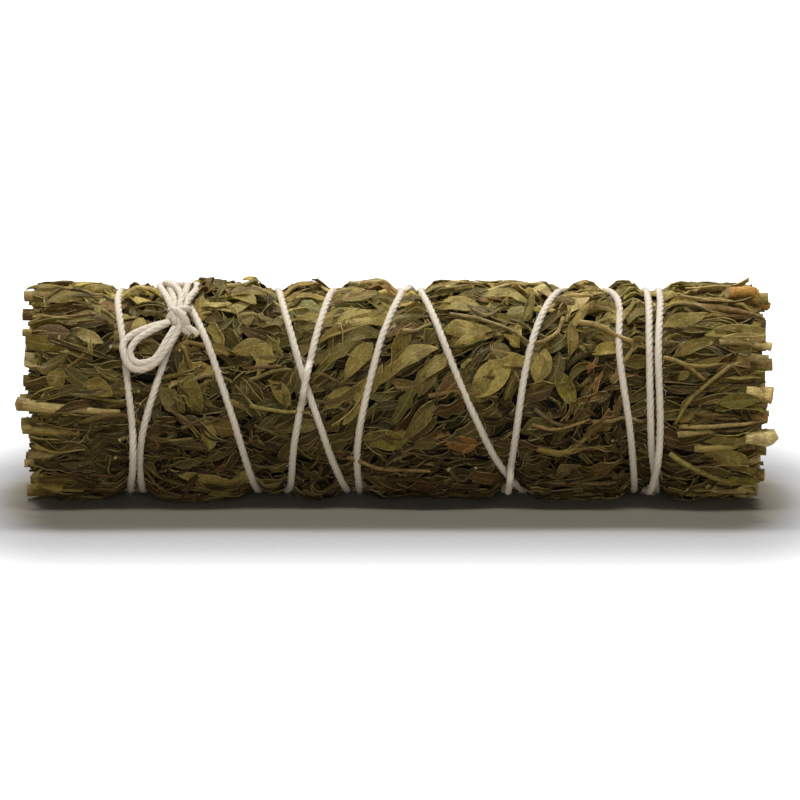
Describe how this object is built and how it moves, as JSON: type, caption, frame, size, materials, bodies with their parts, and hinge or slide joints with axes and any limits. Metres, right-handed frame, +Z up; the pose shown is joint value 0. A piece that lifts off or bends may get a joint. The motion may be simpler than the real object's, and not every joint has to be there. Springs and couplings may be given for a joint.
{
  "type": "dried sage bundle",
  "caption": "Dried sage sprigs lying side by side in a short round bundle with square-cut stem ends, bound by one wound cotton string tied in a bow.",
  "frame": {"origin": "on the ground plane under the middle of the bundle", "axes": "+X along the bundle, away from the end with the bow; -Y towards the side with the bow; +Z up"},
  "size_m": [0.1016, 0.0325, 0.0302],
  "materials": {
    "outer_leaf": "matt dried leaf, olive to brown, curled and veined",
    "inner_leaf": "matt dried leaf, darker and browner inside the bundle",
    "stalk": "ridged bark with pale pith where it is cut",
    "cotton_string": "undyed twisted cotton with loose fibres"
  },
  "bodies": {
    "root": {"binding_string": "cotton_string", "bow_knot": "cotton_string", "bow_loop_front": "cotton_string", "bow_loop_top": "cotton_string", "loose_leaf_back": "outer_leaf", "loose_leaf_back_end": "outer_leaf", "loose_leaf_broad": "outer_leaf", "loose_leaf_end": "outer_leaf", "loose_leaf_folded": "outer_leaf", "loose_leaf_high": "outer_leaf", "loose_leaf_lobed": "outer_leaf", "loose_leaf_oval": "outer_leaf", "loose_leaf_pointed": "outer_leaf", "loose_leaf_tan": "outer_leaf", "loose_stalk_back": "stalk", "loose_stalk_curved": "stalk", "loose_stalk_high": "stalk", "loose_stalk_left": "stalk", "loose_stalk_low": "stalk", "sprig_core": "inner_leaf", "sprig_inner_01": "inner_leaf", "sprig_inner_02": "inner_leaf", "sprig_inner_03": "inner_leaf", "sprig_inner_04": "inner_leaf", "sprig_inner_05": "inner_leaf", "sprig_inner_06": "inner_leaf", "sprig_middle_01": "inner_leaf", "sprig_middle_02": "inner_leaf", "sprig_middle_03": "inner_leaf", "sprig_middle_04": "inner_leaf", "sprig_middle_05": "inner_leaf", "sprig_middle_06": "inner_leaf", "sprig_middle_07": "inner_leaf", "sprig_middle_08": "inner_leaf", "sprig_middle_09": "inner_leaf", "sprig_middle_10": "inner_leaf", "sprig_outer_01": "outer_leaf", "sprig_outer_02": "outer_leaf", "sprig_outer_03": "outer_leaf", "sprig_outer_04": "outer_leaf", "sprig_outer_05": "outer_leaf", "sprig_outer_06": "outer_leaf", "sprig_outer_07": "outer_leaf", "sprig_outer_08": "outer_leaf", "sprig_outer_09": "outer_leaf", "sprig_outer_10": "outer_leaf", "sprig_outer_11": "outer_leaf", "sprig_outer_12": "outer_leaf", "sprig_outer_13": "outer_leaf", "sprig_outer_14": "outer_leaf", "string_tail": "cotton_string"}
  },
  "joints": []
}
